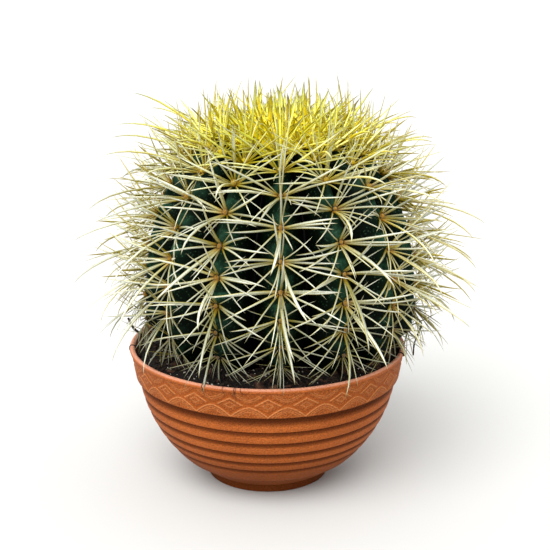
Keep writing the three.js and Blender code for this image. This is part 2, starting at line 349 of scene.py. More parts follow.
def bowlSide(height):
    # The bowl's swelling side without its rings: a superellipse from the foot to the shoulder
    rise = (np.asarray(height, float) - bowl["footHeight"]) / (bowl["bandBottom"] - bowl["footHeight"])
    first, second = bowl["sidePowers"]
    swell = (1 - (1 - np.clip(rise, 0, 1)) ** first) ** second
    return bowl["footRadius"] + (bowl["shoulderRadius"] - bowl["footRadius"]) * swell


def insideBowl(height, depth):
    # A point of the side moved in along its own normal
    slope = (bowlSide(height + 0.05) - bowlSide(height)) / 0.05
    length = np.hypot(1, slope)
    return np.stack([bowlSide(height) - depth / length, height + depth * slope / length], axis=-1)


def bandPattern(along, up):
    # along runs from -1 to 1 over one diamond, up from -1 to 1 over the band. A ribbon is sunk between an
    # inner diamond and an outer line that has a corner over and under it and is level at its sides. A fine
    # ridge runs along the ribbon's upward edges, and fainter ones are nested in the fields beside it.
    a, v = np.abs(along), np.abs(up)
    wide = math.pi * (bowl["bandTopRadius"] + bowl["bandBottomRadius"]) / 2 / bowl["repeats"]
    tall = (bowl["patternHigh"] - bowl["patternLow"]) / 2
    half, reach, slope = bowl["patternInner"]
    inner = (v - half * (1 - a / reach)) / math.hypot(1 / tall, slope / wide)
    level, rise, power = bowl["patternOuter"]
    outer = (v - level - rise * (1 - a) ** power)
    outer = outer / np.hypot(1 / tall, rise * power * (1 - a) ** (power - 1) / wide)
    before, behind = bowl["ribbonSoft"]
    ribbon = smoothStep(-before, behind, inner) * smoothStep(before, -behind, outer)
    ridge = 0
    for field, line, share in [  # millimetres from either outline, and strength
        # The ridges also take a paler colour in the finish, a painted highlight, strongest on these two on
        # the edges that face up
        (inner, -0.2, up > 0),
        (outer, 0.2, up <= 0),
        (inner, -2.7, 0.6),
        (outer, 1.8, 0.45),
        (outer, 3.2, 0.45),
    ]:
        ridge = np.maximum(ridge, share * np.exp(-((field - line) / bowl["ridgeWidth"]) ** 2))
    edge = smoothStep(*bowl["patternEdge"], v)
    return ridge * edge, ribbon * edge


def bowlProfile():
    # From the middle of the underside out to the foot, up over the rings and behind the band, over the lip
    # and down the inside. Each row has its radius, height, painted shade, and how much of the lip's paler
    # colour it takes.
    b = bowl
    pad, recess, foot, wall = b["padRadius"], b["footRecess"], b["footRadius"], b["wall"]
    footInside, band, lip = foot - b["footWidth"], b["bandBottomRadius"], b["lipRound"]
    rows = [
        [pad * 0.97, 0, 0, 0], [pad, 0.1, 0, 0],
        [pad + recess / 2, recess, 0, 0], [footInside - recess / 2, recess, 0, 0],
        [footInside, 0.05, 0, 0], [footInside + 0.5, 0, 0, 0], [foot - b["footBevel"], 0, 0, 0],
        # The foot's rows take painted shade in their third value
        [foot - 0.15, 0.25, 0.85, 0], [foot, b["footBevel"], 0.9, 0], [foot, b["footTop"], 0.8, 0],
    ]
    tops = [*b["ringHeights"][1:], b["bandBottom"]]
    firstTop = b["ringHeights"][0] - b["ringGap"]
    end = bowlSide(firstTop) - b["undercut"]
    # The lower wall's painted shade grows towards the first ring
    for t in (0.12, 0.35, 0.7, 1):
        swell = b["footSwell"] * math.sin(math.pi * t ** 0.7)
        height = b["footTop"] + t * (firstTop - b["footTop"])
        rows.append([foot + t * (end - foot) + swell, height, 0.5 + 0.4 * t ** 6, 0])
    for low, high in zip(b["ringHeights"], tops):
        t = np.array(b["ringSteps"])
        height = low + t * (high - b["ringGap"] - low)
        under = high - height
        pull = b["undercut"] * np.exp(-under / b["undercutReach"])
        pull = pull + b["edgeRound"] * np.maximum(1 - t / b["edgeShare"], 0) ** 2
        hollow = np.exp(-((height - b["cove"][1]) / b["cove"][2]) ** 2)
        radius = bowlSide(height) - pull - b["cove"][0] * hollow
        # Painted shade under each ring's edge, up to the band and down to the foot
        grooveShade = np.maximum(smoothStep(*b["grooveFade"], under), smoothStep(*b["bandShade"], height))
        grooveShade = np.maximum(grooveShade, 0.5 * smoothStep(*b["footShade"], height))
        rows += [[r, h, g, 0] for r, h, g in zip(radius, height, grooveShade)]
    # The hollow behind the band takes full painted shade
    rows += [[band - 2, 79.6, 1, 0], [band - 1, 81.5, 0, 0], [b["bandTopRadius"] - 1.2, 95.5, 0, 0]]
    for turn in np.radians(b["lipTurns"]):
        radius = b["rimRadius"] - lip * (1 - math.cos(turn))
        # The lip's paler colour grows over its top: partly dust, partly a painted highlight where it faces
        # up
        rows.append([radius, b["height"] - lip * (1 - math.sin(turn)), 0, smoothStep(0.1, 0.9, turn)])
    # The inside of the bowl takes painted shade
    inner, step, dark = band - wall, b["bandBottom"] + b["ledge"], b["inside"]
    rows += [[inner + bandLean * (z - step), z, dark, 0] for z in (94, 88)] + [[inner, step, dark, 0]]
    rows += [[*insideBowl(z, wall), dark, 0] for z in b["wallHeights"]]
    rows += [[foot - wall, recess + wall, dark, 0]]
    return np.array(rows, float)


def bowlFinish():
    # Polypropylene from a spark-eroded mould: terracotta-coloured and matt with a fine even stipple. The
    # lip is paler, partly dust and partly a painted highlight, the raised lines take a painted highlight,
    # and painted shade darkens the grooves, the hollow under the band, the lower wall, the foot and the
    # inside
    material, add = newFinish("mouldedPolypropylene", Roughness=0.55, IOR=1.49, Specular_IOR_Level=0.06)
    place = add("TexCoord", out="Object")
    cloud = add("TexNoise", {"Vector": place, "Scale": 22.0, "Detail": 3.0})  # 45 mm patches
    colour = add("ValToRGB", {"Fac": cloud}, [(0.3, "#9A5022"), (0.7, "#A85A28")])
    grain = add("TexNoise", {"Vector": place, "Scale": 1150.0, "Detail": 2.0, "Roughness": 0.6})
    shades = add("ValToRGB", {"Fac": grain}, [(0.38, 0.72), (0.62, 1.16)])
    pitted = add("TexNoise", {"Vector": place, "Scale": 1100.0, "Detail": 1.0})
    pits = add("ValToRGB", {"Fac": pitted}, [(0.36, 0.62), (0.64, 0.94)])
    field = add("Attribute", out="Fac", attribute_name="field")
    for amount, dots in ((1.0, shades), (field, pits)):  # the stipple, and darker pits in the band's fields
        colour = add("Mix", {0: amount, 6: colour, 7: dots}, data_type="RGBA", blend_type="MULTIPLY")
    for mark, hexText, share in (
        ("ribbon", "#884216", 0.55),
        # painted shade in the grooves, the hollow under the band, the lower wall, the foot and the inside
        ("grooveShade", "#401802", 0.84),
        # painted highlight on the raised lines
        ("ridge", "#D2925C", 0.62),
        # the lip's paler colour, partly dust and partly a painted highlight
        ("lip", "#C48A70", 0.9),
    ):
        value = add("Attribute", out="Fac", attribute_name=mark)
        amount = add("Math", {0: value, 1: share}, operation="MULTIPLY")
        colour = add("Mix", {0: amount, 6: colour, 7: linearColour(hexText)}, data_type="RGBA")
    fine = add("TexNoise", {"Vector": place, "Scale": 800.0, "Detail": 1.0})  # 1.2 mm, drawn coarse
    bump = add("Bump", {"Height": fine, "Strength": 1.0, "Distance": 0.001})
    return linkFinish(material, Base_Color=colour, Normal=bump)


def addBowl(finish):
    # The profile turned about the bowl's axis
    radius, height, grooveShade, lip = bowlProfile().T[..., None]
    points = aboutAxis(evenTurns(bowl["columns"]), radius, height)
    top = (0, 0, bowl["footRecess"] + bowl["wall"])
    marks = {"grooveShade": grooveShade, "lip": lip}
    addShells("bowl_shell", points, (0, 0, 0), top, finish, "bowl", marks, ["bowl"])


def addBand(finish):
    # A closed sleeve set in the wall. Its outer face rises to under the lip, with its radius cut by the
    # ribbon and raised by the ridges, and it comes back down in the wall.
    b = bowl
    levels = np.linspace(b["bandEdge"] + 0.3, b["bandTop"], b["bandRows"])
    outer = b["bandBottomRadius"] + bandLean * (levels - b["bandBottom"])
    rows = [[outer[0] - 0.6, b["bandEdge"], 0], [outer[0] - 0.1, b["bandEdge"] + 0.08, 0]]
    rows += [[r, z, 1] for r, z in zip(outer, levels)]
    rows += [[outer[-1] - b["bandThick"], b["bandTop"], 0], [outer[0] - b["bandThick"], 81.5, 0]]
    rows += [[outer[0] - b["bandFoot"], z, 0] for z in (79.4, b["bandEdge"] + 0.1)]
    radius, height, face = np.array(rows).T[..., None]
    turn = evenTurns(b["bandColumns"])
    along = (turn / turnFull * b["repeats"] - b["patternTurn"] + 0.5) % 1 * 2 - 1
    middle = (b["patternLow"] + b["patternHigh"]) / 2
    ridge, ribbon = bandPattern(along, (height - middle) / (b["patternHigh"] - middle))
    ridge, ribbon = ridge * face, ribbon * face
    points = aboutAxis(turn, radius + b["ridgeHeight"] * ridge - b["ribbonDepth"] * ribbon, height)
    # ridge also sets the raised lines' painted highlight in the finish
    marks = {"ridge": ridge, "ribbon": ribbon, "field": face * (1 - ribbon)}
    addShells("bowl_band", points, None, None, finish, "bowl", marks, ["bowl"])


moulded = bowlFinish()
addBowl(moulded)
addBand(moulded)


# Ribbed body of the plant

plant = {
    "offset": 9,  # to the right of the bowl's axis
    "ribs": 14,
    "widestRadius": 96.2,
    "widestHeight": 128.8,
    "crownRise": 123.3,
    "fullness": 0.77,
    "underside": 50,
    "crownDip": 4,
    "dipReach": 16,
    "furrowDepth": 19,
    "furrowStart": (6, 70),  # distances from the crown over which they deepen and fade
    "furrowEnd": (195, 285),
    "crestRound": 0.1,
    "crestSteps": 1440,
    "rootRadius": 20,
    "rootTip": (8, 46),  # radius and height
    "rootSteps": (0, 0.3, 0.6, 0.9),
    "columnsPerRib": 24,
    "rows": 252,
    "rowPower": 1.15,  # rows lie closer at the crown
    "swell": 1.7,  # how far the skin stands out round a cushion
    "swellReach": 6.5,
    "swellAcross": 0.32,
    "swellStart": (20, 60),
    "lump": (0.25, 5, 3),  # height, cell and seed of the skin's unevenness
    "heart": 140,
    "oldSkinAndShade": (0.55, 170, 112),  # darkening of the skin towards the soil, partly old skin and partly painted shade, and from and to what height
    "bloomAndSheen": (8, 5),  # how far above a cushion the wax bloom and its painted sheen lie, and over how much
}
aboutPlant = partial(aboutAxis, offset=plant["offset"])

cushions = {
    "mostPerRib": 16,
    "spacing": 21.5,
    "crowding": 3.6,
    "crowdingReach": 4.5,
    "baseCrowding": 0.8,
    "baseStart": 10.5,
    "flank": (5.2, 9.2, 1.9),  # how much lower they stand there, where and over how many
    "first": 5,
    "crownReach": 46,
    "lowest": 206,
    "phases": (0.10, 0.62, 0.10, 0.85, 0.40, 0.92, 0.30, 0.75, 0.22, 0.64, 0.15, 0.35, 0.45, 0.73),
}


def sampleCrest():
    # The rib's crest from the crown down: a superellipse with a small dip at the crown, then an ellipse
    turn = math.pi * (0.5 - np.arange(plant["crestSteps"] + 1) / plant["crestSteps"])
    across = np.maximum(np.cos(turn), 0)
    above = turn >= 0
    radius = plant["widestRadius"] * np.where(above, across ** plant["fullness"], across)
    rise = plant["crownRise"] * np.abs(np.sin(turn)) ** plant["fullness"]
    dip = plant["crownDip"] * np.exp(-(radius / plant["dipReach"]) ** 2)
    height = plant["widestHeight"] + np.where(above, rise - dip, plant["underside"] * np.sin(turn))
    along = np.concatenate([[0], np.cumsum(np.hypot(np.diff(radius), np.diff(height)))])
    return along, radius, height


crestAlong, crestRadius, crestHeight = sampleCrest()
crestMiddle = (crestAlong[1:] + crestAlong[:-1]) / 2
crestTables = (
    (crestAlong, crestRadius),
    (crestAlong, crestHeight),
    (crestMiddle, -np.diff(crestHeight) / np.diff(crestAlong)),
    (crestMiddle, np.diff(crestRadius) / np.diff(crestAlong)),
)
widest = plant["crestSteps"] // 2
rootAlong = np.interp(-plant["rootRadius"], -crestRadius[widest:], crestAlong[widest:])  # the root's start


def crestAt(along):
    # The crest's radius and height, and the two parts of its outward normal, at a distance from the crown
    return [np.interp(along, x, y) for x, y in crestTables]


def listCushions():
    # Each rib's cushions follow the same spacing, crowded at the crown, from the rib's own phase
    rib, step = np.meshgrid(np.arange(plant["ribs"]), np.arange(cushions["mostPerRib"]), indexing="ij")
    order = np.array(cushions["phases"])[rib] + step
    low = np.maximum(order - cushions["baseStart"], 0)
    crowded = cushions["crowding"] * np.tanh(order / cushions["crowdingReach"])
    drop, middle, reach = cushions["flank"]
    along = cushions["spacing"] * (order - crowded) - cushions["baseCrowding"] * low * low
    along = along + drop * np.exp(-((order - middle) / reach) ** 2)
    used = (along > cushions["first"]) & (along < cushions["lowest"])
    return rib, order, along, used


cushionRib, cushionOrder, cushionAlong, cushionUsed = listCushions()


def bodyPoints(along, turn, clearance=0.0):
    # The crest line turned about the plant's axis, sunk into the furrow by the distance from the crest,
    # with a low swelling round each cushion. Also gives how near a point is to the crest and to a cushion.
    along, turn = np.broadcast_arrays(along, turn)
    radius, height, outward, upward = crestAt(along)
    inRib = turn / turnFull * plant["ribs"] % 1
    fromCrest = 2 * np.minimum(inRib, 1 - inRib)
    rounding = plant["crestRound"]
    sunk = (np.sqrt(fromCrest ** 2 + rounding ** 2) - rounding) / (math.sqrt(1 + rounding ** 2) - rounding)
    furrow = plant["furrowDepth"] * smoothStep(*plant["furrowStart"], along)
    furrow = furrow * (1 - smoothStep(*plant["furrowEnd"], along))
    rib = np.round(turn / turnFull * plant["ribs"]).astype(int) % plant["ribs"]
    places = np.where(cushionUsed, cushionAlong, -999)[rib]  # the unused ones lie far off
    gap = along[..., None] - places
    nearest = np.take_along_axis(gap, np.abs(gap).argmin(axis=-1)[..., None], axis=-1)[..., 0]
    swelling = np.exp(-(nearest / plant["swellReach"]) ** 2)
    swelling = swelling * np.exp(-(fromCrest / plant["swellAcross"]) ** 2)
    out = clearance - furrow * sunk + plant["swell"] * swelling * smoothStep(*plant["swellStart"], along)
    points = aboutPlant(turn, radius + out * outward, height + out * upward)
    return points, 1 - fromCrest, nearest


def bodyFinish():
    # The plant's living skin: waxy, dark blue-green and satin. Wax bloom with a painted sheen pales the
    # crests above each cushion, pale pores speckle it, and painted shade darkens the furrows to almost
    # black.
    material, add = newFinish("waxyPlantSkin", Roughness=0.42, IOR=1.4, Specular_IOR_Level=0.05)
    place = add("TexCoord", out="Object")
    crest, bloomAndSheen = (add("Attribute", out="Fac", attribute_name=n) for n in ("crest", "bloomAndSheen"))
    # Painted shade: the skin darkens from the crest to almost black in the furrows
    colour = add("ValToRGB", {"Fac": crest}, [
        (0.0, "#000000"), (0.3, "#020602"), (0.65, "#050F07"), (1.0, "#0E2516")])
    patches = add("TexNoise", {"Vector": place, "Scale": 160.0, "Detail": 4.0, "Roughness": 0.65})
    broken = add("ValToRGB", {"Fac": patches}, [(0.38, 0.05), (0.62, 0.85)])
    pores = add("TexVoronoi", {"Vector": place, "Scale": 520.0})  # 1.9 mm apart
    dots = add("ValToRGB", {"Fac": pores}, [(0.1, 0.5), (0.3, 0.0)])
    lit = add("ValToRGB", {"Fac": crest}, [(0.2, 0.0), (0.6, 1.0)])  # none in the furrows
    # The wax bloom with its painted sheen, then the pale pores
    for mark, share, hexText in ((bloomAndSheen, broken, "#2A503C"), (dots, lit, "#46684E")):
        amount = add("Math", {0: mark, 1: share}, operation="MULTIPLY")
        colour = add("Mix", {0: amount, 6: colour, 7: linearColour(hexText)}, data_type="RGBA")
    bump = add("Bump", {"Height": patches, "Strength": 0.35, "Distance": 0.0008})
    return linkFinish(material, Base_Color=colour, Normal=bump)


def addBody():
    # Rows from the tip of the buried root up its cone, on over the underside and sides to the crown
    turn = evenTurns(plant["ribs"] * plant["columnsPerRib"])
    rows = np.arange(plant["rows"]) / plant["rows"]
    points, crest, nearest = bodyPoints((rootAlong * (1 - rows) ** plant["rowPower"])[:, None], turn)
    tipRadius, tipHeight = plant["rootTip"]
    t = np.array(plant["rootSteps"])[:, None]
    rootRadius = tipRadius + (plant["rootRadius"] - tipRadius) * t
    rootHeight = tipHeight + (crestAt(rootAlong)[1] - tipHeight) * t
    points = np.concatenate([aboutPlant(turn, rootRadius, rootHeight), points])
    crest = np.concatenate([0 * t + 0 * turn, crest])
    nearest = np.concatenate([99 + 0 * t + 0 * turn, nearest])  # the root is far from any cushion
    rise, reach = plant["bloomAndSheen"]
    # The wax bloom and its painted sheen lie on the crest just above each cushion
    above = np.exp(-((nearest + rise) / reach) ** 2) * smoothStep(0.45, 0.95, crest)
    # Darker towards the soil: partly old skin, partly painted shade
    darkening, start, end = plant["oldSkinAndShade"]
    fresh = 1 - darkening * smoothStep(start, end, points[..., 2])
    lump, cell, seed = plant["lump"]
    heart = np.array([plant["offset"], 0, plant["heart"]])
    points += lump * latticeNoise(points, cell, seed)[..., None] * unit(points - heart)
    tip = (plant["offset"], 0, tipHeight)
    crown = (plant["offset"], 0, crestHeight[0])
    marks = {"crest": crest * fresh, "bloomAndSheen": above * fresh}
    addShells("cactus_body", points, tip, crown, bodyFinish(), "cactus", marks, ["cactus"])


addBody()


# Spine cushions

pads = {
    "width": 2.8,
    "height": 3.6,
    "thick": 1.8,
    "crownScale": 1.6,
    "baseShrink": 0.3,
    "sizeScatter": 0.25,
    "lump": (0.5, 1.6, 5),  # height, cell and seed
    "seat": 0.8,  # share of the skin's swelling under it
    "depth": 2,  # of its lowest point under the crest
    "rise": (-0.5, 1.35),  # angles of its lowest and highest ring, in radians
    "top": 1.02,
    "rings": 6,
    "corners": 14,
    # how much the cushions near the soil darken, partly old felt and partly painted shade
    "wearAndShade": 0.85,
    "paling": (34, 96),  # distances from the crown over which young ones turn old
    "oldFrom": 150,
}


def cushionFrames():
    # Each cushion's place on its crest, and the directions to its right, up the rib and out of the skin
    rib, along = cushionRib[cushionUsed], cushionAlong[cushionUsed]
    angle = rib * turnFull / plant["ribs"]
    radius, height, outward, upward = crestAt(along)
    spoke = aboutAxis(angle, 1, 0)
    place = aboutPlant(angle, radius, height)
    right = stackPoints(np.cos(angle), np.sin(angle), 0)
    lift = np.array([0, 0, 1.0])
    up = -spoke * upward[:, None] + lift * outward[:, None]
    out = spoke * outward[:, None] + lift * upward[:, None]
    return rib, np.floor(cushionOrder[cushionUsed]), along, place, right, up, out


padRib, padCushion, padAlong, padPlace, padRight, padUp, padOut = cushionFrames()
padYouth = 1 - smoothStep(*pads["paling"], padAlong)  # 1 at the crown, 0 on the grown sides
padAge = smoothStep(pads["oldFrom"], cushions["lowest"], padAlong)  # 1 at the soil


def feltFinish():
    # Areole felt: short matted plant hair, matt, amber and dusty where old and yellow where young, with
    # fibres about 0.3 mm apart. Near the soil it darkens, partly old felt and partly painted shade
    material, add = newFinish("areoleFelt", Roughness=0.95, Specular_IOR_Level=0.1, Sheen_Weight=0.3)
    place = add("TexCoord", out="Object")
    fibre = add("TexNoise", {"Vector": place, "Scale": 1800.0, "Detail": 2.0})
    colour = add("ValToRGB", {"Fac": fibre}, [(0.3, "#664610"), (0.7, "#B0842C")])
    young = add("ValToRGB", {"Fac": fibre}, [(0.3, "#CCB40E"), (0.7, "#F6E61C")])
    # darker near the soil, partly old felt and partly painted shade, then yellow where young
    for mark, tint in (("wornAndShaded", linearColour("#2E2214")), ("youth", young)):
        amount = add("Attribute", out="Fac", attribute_name=mark)
        colour = add("Mix", {0: amount, 6: colour, 7: tint}, data_type="RGBA")
    bump = add("Bump", {"Height": fibre, "Strength": 0.8, "Distance": 0.0006})
    return linkFinish(material, Base_Color=colour, Normal=bump)


felt = feltFinish()


def addCushions():
    # Each cushion is an oval dome, lumpy by noise, whose lower rings are sunk in the skin
    size = 1 + (pads["crownScale"] - 1) * padYouth
    size = size * (1 + pads["sizeScatter"] * scatter(padRib, padCushion, 61))
    size = (size * (1 - pads["baseShrink"] * padAge))[:, None, None, None]
    dome = ballRings(np.linspace(*pads["rise"], pads["rings"]), pads["corners"])
    dome = dome * np.array([pads["width"] / 2, pads["height"] / 2, pads["thick"]])
    right, up, out, place = (v[:, None, None] for v in (padRight, padUp, padOut, padPlace))
    lifted = place + out * plant["swell"] * pads["seat"]
    rings = lifted + size * (right * dome[..., :1] + up * dome[..., 1:2] + out * dome[..., 2:])
    lump, cell, seed = pads["lump"]
    rings = rings + lump * latticeNoise(rings, cell, seed)[..., None] * out
    start = padPlace - padOut * pads["depth"]
    end = lifted + size * out * pads["thick"] * pads["top"]
    marks = {"youth": padYouth[:, None, None], "wornAndShaded": pads["wearAndShade"] * padAge[:, None, None]}
    addShells("cushions", rings, start, end, felt, "cactus", marks)


addCushions()


# Spines

# One grown cushion's spines: turn from its right, lift from the skin, length, width, thickness and outward
# bow. The first four are the long centre spines.
centreSpines = (
    (-90, 46, 57, 2.5, 1.5, 8.0), (8, 38, 50, 1.8, 1.3, 1.5),
    (172, 38, 50, 1.8, 1.3, 1.5), (92, 52, 44, 1.7, 1.3, 1.5),
)
raySpines = (
    (-3, 20, 47, 1.6, 1.2, 1.8), (-15, 28, 45, 1.5, 1.1, 1.8), (183, 20, 47, 1.6, 1.2, 1.8),
    (195, 28, 45, 1.5, 1.1, 1.8), (40, 24, 31, 0.9, 0.8, 0.5), (140, 24, 31, 0.9, 0.8, 0.5),
    (-44, 26, 41, 1.15, 1.0, 2.5), (-136, 26, 40, 1.15, 1.0, 2.5), (-94, 30, 27, 1.2, 1.0, 1.5),
    (78, 62, 42, 1.1, 0.9, 1.0), (-80, 64, 46, 1.2, 1.0, 3.0), (-108, 56, 44, 1.1, 0.9, 3.0),
)
# More spines on the young cushions just below the crown, leaning up and out
youngSpines = (
    (78, 48, 38, 1.5, 1.2, 1.0), (106, 42, 36, 1.4, 1.1, 1.0),
    (34, 48, 36, 1.4, 1.1, 1.5), (148, 48, 36, 1.4, 1.1, 1.5),
)
# A crown cushion's spines lean out from the crown: broad blades first, then needles
crownSpines = (
    (-90, 66, 38, 3.6, 1.4, 0.5), (-40, 44, 32, 3.0, 1.2, 0.8), (-140, 42, 33, 2.9, 1.2, 0.8),
    (-75, 34, 33, 2.2, 1.2, 1.5), (-110, 30, 32, 2.1, 1.2, 1.5), (-10, 36, 29, 1.8, 1.1, 1.0),
    (190, 36, 29, 1.8, 1.1, 1.0), (-60, 24, 28, 1.6, 1.0, 1.5), (-125, 24, 28, 1.6, 1.0, 1.5),
    (35, 44, 24, 1.7, 1.0, 0.5), (145, 44, 24, 1.7, 1.0, 0.5), (90, 58, 26, 2.0, 1.1, 0.5),
)

spine = {
    "rootDepth": 0.5,  # under the crest, inside the cushion
    "rootSpread": 1.2,  # from the cushion's middle
    "turnScatter": 18,
    "centreScatter": 60,  # for the long spine that points down
    "crownScatter": 110,  # for all of a crown cushion's spines together
    "liftScatter": 16,
    "lengthScatter": 0.36,
    "risingReach": 82,  # how far down the young spines go
    "paling": (32, 90),  # from yellow to straw, by the distance from the crown
    "toneScatter": 1.7,
    "bendScatter": 0.08,  # to a side, as a share of its length
    "baseShortening": 0.3,
    "baseLowering": 0.5,  # how much less the spines near the soil lift
    "baseDroop": 26,  # how far they turn down
    "baseStraightening": 0.6,
    "baseThinning": 0.58,
    # how much darker the spines near the soil are, partly old spines and partly painted shade
    "baseDullingAndShade": 2.3,
    "baseStart": 140,
    "crownShortening": 0.2,
    "crownMiddle": (8, 40),
    "clearance": 1.6,
    "twigClearance": 7.5,
    "samples": 16,  # points of a spine that are tested for it
    "liftStep": 8,
    "shortStep": 0.16,
    "shortTries": 4,  # for each lift
    "tries": 28,
    "corners": 5,
    "steps": (0, 0.06, 0.22, 0.42, 0.62, 0.78, 0.9),
    "rootSwell": (0.15, 16),  # how much thicker at the root, and how fast that fades
    "litToShaded": (-0.6, 0.05),  # from the sunlit face to the shaded ones, which painted shade turns yellower, by the section's sine
}

# The soil and the twigs, which the spines keep clear of
soil = {
    "atWall": 93.5,
    "mound": 7.5,
    "reach": 96,
    "edgeRadius": 94.9,  # of the soil's top at the wall
    "columns": 672,
    "topRows": 44,
    "pocketRows": 16,
    "pocketStart": 0.06,
    "fit": 0.4,
    "contact": 98.4,
    "contactSearch": (170, 262, 240),  # distances down the body, and how many are tried
    "floorRadius": 38,
    "ledgeHeight": 80.8,
    "upperWall": (94.6, 92.4),  # radius and height
    "skinRise": (0.7, 1.0),  # shares of the way to the plant over which it rises to the skin
    "lumpFade": (0.08, 0.93),  # shares between which the lumps are in full
    "lumps": ((9, 1.5, 11), (4, 0.9, 12), (1.9, 0.45, 13)),  # cell, height, seed
}

twigs = {
    "twig_left": {
        "radius": 1.1,
        "taper": 0.4,
        "route": ((-87, 9, 85), (-90, 9.5, 95), (-94.5, 10, 101.8), (-99, 11, 105.5), (-102.8, 12, 113)),
    },
    "twig_right": {
        "radius": 0.8,
        "taper": 0.5,
        "route": (
            (86, 19, 86), (90.5, 18, 96), (96.5, 14.5, 105), (100.5, 11, 111.5), (104.5, 8, 115.5),
            (109, 5, 115.2), (112.3, 3, 110.8), (109.5, 1, 103.6), (107, -1, 97), (106.6, -1, 88.5),
        ),
    },
}


def smoothRoute(route, count):
    # A Catmull-Rom curve: through every point, along the line between its neighbours
    p = np.array(route, float)
    p = np.concatenate([[2 * p[0] - p[1]], p, [2 * p[-1] - p[-2]]])
    at = np.linspace(0, len(route) - 1 - 1e-9, count)
    i = at.astype(int)
    t = (at - i)[:, None]
    a, b, c, d = p[i], p[i + 1], p[i + 2], p[i + 3]
    square, cube = a - 2.5 * b + 2 * c - d / 2, -a + 3 * b - 3 * c + d
    return b + t * (c - a) / 2 + t ** 2 * square + t ** 3 * cube / 2


def soilTop(radius):
    # The mound falls from the bowl's axis with the fourth power of the distance
    return soil["atWall"] + soil["mound"] * (1 - np.minimum(radius / soil["reach"], 1) ** 4)


twigPoints = np.concatenate([smoothRoute(twig["route"], 41) for twig in twigs.values()])


def isClear(points):
    # Whether a spine's points are all over the soil, over the rim's level further out, and off the twigs
    radius = np.hypot(points[..., 0], points[..., 1])
    room = spine["clearance"]
    atLip = radius > bowl["rimRadius"] - 2 * bowl["lipRound"] - room
    ground = np.where(atLip, bowl["height"], soilTop(radius))
    fromTwigs = np.linalg.norm(points[..., None, :] - twigPoints, axis=-1).min(axis=-1)
    return ((points[..., 2] > ground + room) & (fromTwigs > spine["twigClearance"])).all(axis=-1)


def placeSpines(chosen, kinds, firstDraw, freeTurn=0.0):
    # Every kind of spine on every chosen cushion, from its root under the skin to its tip. One that would
    # meet the soil, the lip or a twig is shortened and then lifted in steps until it is clear, or dropped.
    pick = np.repeat(chosen, len(kinds))
    item = np.tile(np.arange(len(kinds)), len(chosen)) + firstDraw
    turn, lift, length, width, thick, bow = np.tile(np.array(kinds, float), (len(chosen), 1)).T
    draw, along = partial(scatter, padRib[pick], padCushion[pick]), padAlong[pick]
    swing = np.where(item == 0, spine["centreScatter"], spine["turnScatter"])
    turn = turn + swing * draw(item) + freeTurn * draw(9)
    lift = lift + spine["liftScatter"] * draw(item + 20)
    low = smoothStep(spine["baseStart"], cushions["lowest"], along)
    turn = turn - spine["baseDroop"] * low * np.cos(np.radians(turn))
    lift = lift * (1 - spine["baseLowering"] * low)
    short = 1 - spine["baseShortening"] * low
    short = short - spine["crownShortening"] * (1 - smoothStep(*spine["crownMiddle"], along))
    size = 1 - spine["baseThinning"] * low
    length = length * short * (1 + spine["lengthScatter"] * draw(item + 40))
    place, right, up, out = padPlace[pick], padRight[pick], padUp[pick], padOut[pick]
    cosTurn, sinTurn = np.cos(np.radians(turn))[:, None], np.sin(np.radians(turn))[:, None]
    heading = right * cosTurn + up * sinTurn
    root = place - out * spine["rootDepth"] + heading * spine["rootSpread"]
    curve = 1 - spine["baseStraightening"] * low
    bend = length * curve * spine["bendScatter"] * draw(item + 120)
    bowing = out * (bow * curve)[:, None] + (up * cosTurn - right * sinTurn) * bend[:, None]
    tip = place.copy()
    kept = np.zeros(len(pick), bool)
    t = ((np.arange(spine["samples"]) + 1.5) / (spine["samples"] + 0.5))[:, None]
    for attempt in range(spine["tries"]):
        raised = np.radians(lift + attempt // spine["shortTries"] * spine["liftStep"])[:, None]
        reach = np.cos(raised) * heading + np.sin(raised) * out
        tried = place + (length * (1 - attempt % spine["shortTries"] * spine["shortStep"]))[:, None] * reach
        samples = root[:, None] + (tried - root)[:, None] * t + bowing[:, None] * 4 * t * (1 - t)
        fresh = isClear(samples) & ~kept
        tip[fresh] = tried[fresh]
        kept |= fresh
    placed = {
        "root": root,
        "tip": tip,
        "bow": bowing,
        "side": np.cross(tip - root, out),
        "width": width * size,
        "thick": thick * size,
        "youth": 1 - smoothStep(*spine["paling"], along),
        "length": length,
        # Tone varies at random, and darkens near the soil, partly with age and partly as painted shade
        "shade": spine["toneScatter"] * draw(item + 80) - spine["baseDullingAndShade"] * low ** 1.4,
    }
    return {key: value[kept] for key, value in placed.items()}


